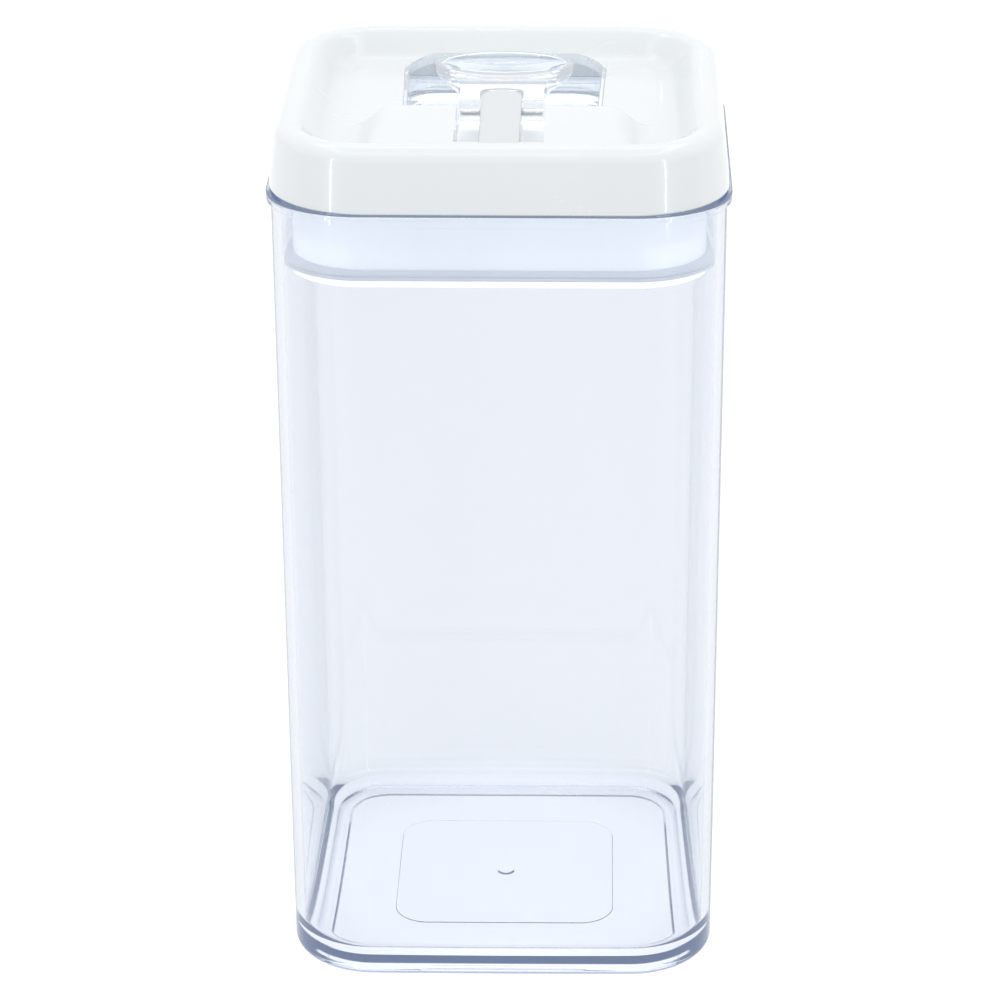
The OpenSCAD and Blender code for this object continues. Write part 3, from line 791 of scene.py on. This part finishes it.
class CANISTER_OT_seal(bpy.types.Operator):
    """Models the silicone ring with its two lips"""
    bl_idname = "canister.seal"
    bl_label = "Seal"

    def execute(self, context):
        low, high = (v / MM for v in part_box("gasket"))
        c, inner, z0, z1, out = SEAL_CORNER, PLUG_BORE, low.z, high.z, high.x
        lip, waist = (z1 - z0) / 4, 0.55
        profile = [(inner, z0 + 0.2), (inner + 0.2, z0)] + arc((out - lip, z0 + lip), lip, -90, 60, 6)
        profile += [(out - waist, z0 + (z1 - z0) / 2)] + arc((out - lip, z1 - lip), lip, -60, 90, 6)
        profile += [(inner + 0.2, z1), (inner, z1 - 0.2)]
        xs = spread(-c, c, 16)
        rings = [[(x, y, z) for x, y in rounded(p, c, 18, xs, xs)] for p, z in profile + profile[:1]]
        ring = loft("seal_ring", rings, cap_start=False, cap_end=False)
        tidy_mesh(ring)
        finish_piece(ring, "lid", "gasket", silicone(context.scene.canister_colours))
        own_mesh(ring)
        return {"FINISHED"}


class CANISTER_OT_plate(bpy.types.Operator):
    """Finishes the pressure plate, the draw post and the hinge pin, which keep their CAD forms"""
    bl_idname = "canister.plate"
    bl_label = "Pressure plate, post and pin"

    def execute(self, context):
        c = context.scene.canister_colours
        for name, finish in (("pressure_plate", milky_plastic(c, "Milky plate", 0.35)),
                             ("draw_post", cover_plastic(c)), ("hinge_pin", steel(c))):
            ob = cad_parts[name]
            ob.data.materials.clear()
            ob.data.materials.append(finish)
        return {"FINISHED"}


class CANISTER_OT_lever(bpy.types.Operator):
    """Models the clear lever: two cam arms, the neck with its arched web and the dished paddle"""
    bl_idname = "canister.lever"
    bl_label = "Flip lever"

    def execute(self, context):
        s = context.scene.canister_lever
        a, b = s.paddle_width / 2 / MM, s.paddle_length / 2 / MM
        lever = self.paddle(s, a, b)
        self.neck(lever, s, a, b)
        for side in (-1, 1):
            add(lever, self.arm(side))
        cut(lever, slab("pin bore", oval(PIVOT.y, PIVOT.z, PIN_R, PIN_R, 32), -12, 12))
        soften(lever, s.edge / MM, 40, 2)
        finish_piece(lever, "lever", "lever", lid_plastic(context.scene.canister_colours))
        return {"FINISHED"}

    def paddle(self, s, a, b):
        """The dished paddle: a flat underside, a rounded flank, the rim and the hollow, from below upwards."""
        h, dish, rim = s.paddle_height / MM, s.hollow / MM, s.rim / MM
        flank_a, flank_b, side_z, rim_z = 5.2, 5, 1.4, -0.25
        hollow_a, hollow_b = 6.5, 5

        def ring(p, q, z):
            return [(x, y, LEVER_TOP + z) for x, y in oval(0, PADDLE_Y, p, q, OVAL_STEPS)]

        rings = [ring(a - 7, b - 6.6, -h), ring(a - flank_a, b - flank_b, -h)]
        for t in spread(0, 1, 6)[1:]:
            turn = t * math.pi / 2
            rings.append(ring(a - flank_a + flank_a * math.sin(turn), b - flank_b + flank_b * math.sin(turn),
                              -h + (h - side_z) * (1 - math.cos(turn))))
        rings += [ring(a, b, -0.5), ring(a - 0.15, b - 0.15, -0.15), ring(a - 0.5, b - 0.5, 0)]
        rings += [ring(a - rim + 0.4, b - rim + 0.4, 0), ring(a - rim, b - rim, rim_z)]
        for t in spread(0, 1, 8)[1:]:
            rise = math.sin(t * math.pi / 2)
            rings.append(ring(a - rim - hollow_a * rise * t, b - rim - hollow_b * rise * t,
                              rim_z - (dish + rim_z) * rise))
        rings.append(ring((a - rim - hollow_a) * 0.5, (b - rim - hollow_b) * 0.5, -dish))
        paddle = loft("flip_lever", rings)
        tidy_mesh(paddle)
        return paddle

    def arm(self, side):
        """One arm, whose cam lets the pin sink evenly as the lever turns through a quarter turn."""
        rate = PLATE_TRAVEL / (math.pi / 2)
        rear, cam = PIVOT.y + 11.6, []
        for degrees in range(0, 91, 6):
            r = math.radians(degrees)
            h = CAM_R - rate * r
            cam.append((PIVOT.y - h * math.sin(r) + rate * math.cos(r),
                        PIVOT.z - h * math.cos(r) - rate * math.sin(r)))
        outline = cam + [(PIVOT.y - 3.3, LEVER_TOP - 0.4), (PIVOT.y - 2.9, LEVER_TOP), (rear, LEVER_TOP - 0.02),
                         (rear, LEVER_TOP - 3.4), (PIVOT.y + 6.1, PIVOT.z - CAM_R)]
        x0, x1 = sorted((side * ARM_INNER, side * ARM_OUTER))
        return slab("arm", outline, x0, x1)

    def neck(self, lever, s, a, b):
        """The web between the arms and the paddle, with the arch that clears the tongue."""
        join_y, half, flare, inside = PADDLE_Y - b, ARM_OUTER - 0.02, 3, 2.2
        side = [(half + flare * (i / 8) ** 2, join_y * i / 8) for i in range(9)]
        edge = [(half, PIVOT.y + 0.5)] + side + [(half, join_y + b / 2)]
        web = prism("neck", edge + [(-x, y) for x, y in edge[::-1]], LEVER_TOP - s.neck / MM, LEVER_TOP - 0.01)
        arch = [(-ARM_INNER, PIVOT.y - 1), (ARM_INNER, PIVOT.y - 1)]
        arch += [(ARM_INNER * math.cos(math.pi * i / 24), PIVOT.y + 5.5 + 2.5 * math.sin(math.pi * i / 24))
                 for i in range(25)]
        cut(web, prism("arch", arch, LEVER_TOP - 10, LEVER_TOP + 10))
        hollow = oval(0, PADDLE_Y, a - inside, b - inside, OVAL_STEPS)
        cut(web, prism("inside", hollow, LEVER_TOP - 10, LEVER_TOP + 10))
        add(lever, web)


# Studio, in metres
FLOOR_SIZE = 12
FLOOR_DROP = 0.0002  # keeps the floor clear of the foot
AIM = Vector((0, 0, 0.2))
FRAME_Z = 0.95
FRAME_BAR, FRAME_RADIANCE = 0.006, 14
UPRIGHT_RADIANCE = 12
REAR_BAR, REAR_SIDE_BAR, REAR_RADIANCE = 0.005, 0.004, 9
REAR_TURN = 33  # degrees that the two rear edge bars are turned by
SENSOR, LENS = 36, 139.988
SHIFT = (-0.08335, 0.02588)
CAMERA_AT = (24.98, -955.06, 518.95)  # millimetres
CAMERA_WAY = (-0.00373, 0.91811, -0.39631)
CAMERA_ROLL = 0.209  # degrees


class CANISTER_OT_studio(bpy.types.Operator):
    """Lays the pale floor and sets the soft light and the camera"""
    bl_idname = "canister.studio"
    bl_label = "Studio"

    def execute(self, context):
        scene = context.scene
        floor = start("studio_floor", "plane", size=FLOOR_SIZE)
        floor.data.materials.append(self.floor_finish(scene.canister_colours))
        floor.location.z = -FLOOR_DROP
        self.sky(scene)
        self.strips(scene)
        self.camera(scene)
        scene.view_settings.view_transform = "Standard"
        return {"FINISHED"}

    def floor_finish(self, colours):
        """A pale floor with a glow of its own, stronger behind the jar and right under it."""
        m = new_material("Studio floor")
        t = m.node_tree
        bsdf = node(t, "ShaderNodeBsdfDiffuse", {"Color": (*colours.floor, 1)})
        place = node(t, "ShaderNodeTexCoord").outputs["Object"]
        xyz = node(t, "ShaderNodeSeparateXYZ", {0: place})
        behind = node(t, "ShaderNodeMapRange", {"Value": xyz.outputs[1], "From Min": -0.25, "From Max": -0.04,
                                                "To Min": 0.58, "To Max": 0.8}, interpolation_type="SMOOTHSTEP")
        # The next two nodes paint a pool of light on the floor right under the jar, where its shadow falls.
        middle = node(t, "ShaderNodeVectorMath", {0: place}, operation="LENGTH")
        under = node(t, "ShaderNodeMapRange", {"Value": middle.outputs["Value"], "From Min": 0.045,
                                               "From Max": 0.075, "To Min": 0.22, "To Max": 0})
        total = node(t, "ShaderNodeMath", {0: behind.outputs[0], 1: under.outputs[0]}, operation="ADD")
        glow = node(t, "ShaderNodeEmission", {"Color": (1, 1, 1, 1), "Strength": total.outputs[0]})
        both = node(t, "ShaderNodeAddShader", {0: bsdf.outputs[0], 1: glow.outputs[0]})
        node(t, "ShaderNodeOutputMaterial", {"Surface": both.outputs[0]})
        return m

    def sky(self, scene):
        """A soft white room, brightest overhead and a little brighter behind the jar than before it."""
        world = bpy.data.worlds.new("Soft room")
        scene.world = world
        world.use_nodes = True
        t = world.node_tree
        t.nodes.clear()
        way = node(t, "ShaderNodeTexCoord").outputs["Generated"]
        xyz = node(t, "ShaderNodeSeparateXYZ", {0: way})
        up = node(t, "ShaderNodeMapRange", {"Value": xyz.outputs[2], "From Min": 0, "From Max": 0.8,
                                            "To Min": 0, "To Max": 1}, interpolation_type="SMOOTHSTEP")
        back = node(t, "ShaderNodeMapRange", {"Value": xyz.outputs[1], "From Min": -0.9, "From Max": 0.6,
                                              "To Min": 0.95, "To Max": 1.05}, interpolation_type="SMOOTHSTEP")
        total = node(t, "ShaderNodeMix", {"Factor": up.outputs[0], 2: back.outputs[0], 3: 1.2}, data_type="FLOAT")
        glow = node(t, "ShaderNodeBackground", {"Color": (1, 1, 1, 1), "Strength": total.outputs[0]})
        node(t, "ShaderNodeOutputWorld", {"Surface": glow.outputs[0]})

    def strips(self, scene):
        """Thin light bars: two upright ones at the front corners, a double frame overhead and a far rear edge."""
        bars = [("left upright", (-0.44, -0.50, 0.25), (0.5, 0.018), UPRIGHT_RADIANCE),
                ("right upright", (0.44, -0.50, 0.25), (0.5, 0.018), UPRIGHT_RADIANCE)]
        for k, half in enumerate((0.34, 0.40)):
            along_y, along_x = (FRAME_BAR, 2 * half), (2 * half, FRAME_BAR)
            for name, x, y, size in (("left", -half, 0, along_y), ("right", half, 0, along_y),
                                     ("back", 0, half, along_x), ("front", 0, -half, along_x)):
                bars.append(("frame %s %d" % (name, k), (x, y, FRAME_Z), size, FRAME_RADIANCE))
        for name, edge_x, side_x in (("left", -0.155, -0.189), ("right", 0.0365, 0.0705)):
            bars.append(("rear edge " + name, (edge_x, 2.468, FRAME_Z), (0.081, REAR_BAR), REAR_RADIANCE))
            bars.append(("rear side " + name, (side_x, 2.55, FRAME_Z), (REAR_SIDE_BAR, 0.12), REAR_RADIANCE))
        for name, place, (w, h), radiance in bars:
            data = bpy.data.lights.new(name, "AREA")
            data.shape, data.size, data.size_y = "RECTANGLE", w, h
            data.energy = radiance * math.pi * w * h
            ob = bpy.data.objects.new(name, data)
            scene.collection.objects.link(ob)
            ob.location = place
            if name.startswith("rear edge"):
                ob.rotation_euler.z = math.copysign(math.radians(REAR_TURN), place[0])
            if "upright" in name:
                ob.rotation_mode = "QUATERNION"
                level = Vector((place[0], place[1], AIM.z))
                ob.rotation_quaternion = (AIM - level).to_track_quat("-Z", "X")

    def camera(self, scene):
        """The camera, placed by its point, its way and its roll."""
        data = bpy.data.cameras.new("Camera")
        cam = bpy.data.objects.new("Camera", data)
        scene.collection.objects.link(cam)
        data.sensor_width, data.lens = SENSOR, LENS
        data.shift_x, data.shift_y = SHIFT
        data.clip_start, data.clip_end = 0.05, 50
        forward = Vector(CAMERA_WAY).normalized()
        right = forward.cross(Vector((0, 0, 1))).normalized()
        up = right.cross(forward)
        roll = math.radians(CAMERA_ROLL)
        turned_right = right * math.cos(roll) + up * math.sin(roll)
        turned_up = up * math.cos(roll) - right * math.sin(roll)
        turn = Matrix((turned_right, turned_up, -forward)).transposed().to_4x4()
        cam.matrix_world = Matrix.Translation(Vector(CAMERA_AT) * MM) @ turn
        scene.camera = cam


class CANISTER_PT_panel(bpy.types.Panel):
    """Lists every size and colour, and a button for each piece"""
    bl_label = "Food canister"
    bl_idname = "CANISTER_PT_panel"
    bl_space_type = "VIEW_3D"
    bl_region_type = "UI"
    bl_category = "Canister"

    def draw(self, context):
        for name, group in GROUPS.items():
            box = self.layout.box()
            for key in group.__annotations__:
                box.prop(getattr(context.scene, name), key)
        for op in OPERATORS:
            self.layout.operator(op.bl_idname)


GROUPS = {
    "canister_jar": JarSizes,
    "canister_lid": LidSizes,
    "canister_lever": LeverSizes,
    "canister_colours": CanisterColours,
}
OPERATORS = (
    CANISTER_OT_jar,
    CANISTER_OT_cover,
    CANISTER_OT_plug,
    CANISTER_OT_seal,
    CANISTER_OT_plate,
    CANISTER_OT_lever,
    CANISTER_OT_studio,
)


def register():
    for cls in (*GROUPS.values(), *OPERATORS, CANISTER_PT_panel):
        bpy.utils.register_class(cls)
    for name, group in GROUPS.items():
        setattr(bpy.types.Scene, name, PointerProperty(type=group))


def unregister():
    for name in GROUPS:
        delattr(bpy.types.Scene, name)
    for cls in (CANISTER_PT_panel, *OPERATORS[::-1], *list(GROUPS.values())[::-1]):
        bpy.utils.unregister_class(cls)


def main():
    """Builds every piece and the studio."""
    register()
    for op in OPERATORS:
        group, name = op.bl_idname.split(".")
        getattr(getattr(bpy.ops, group), name)()


if __name__ == "__main__":
    main()
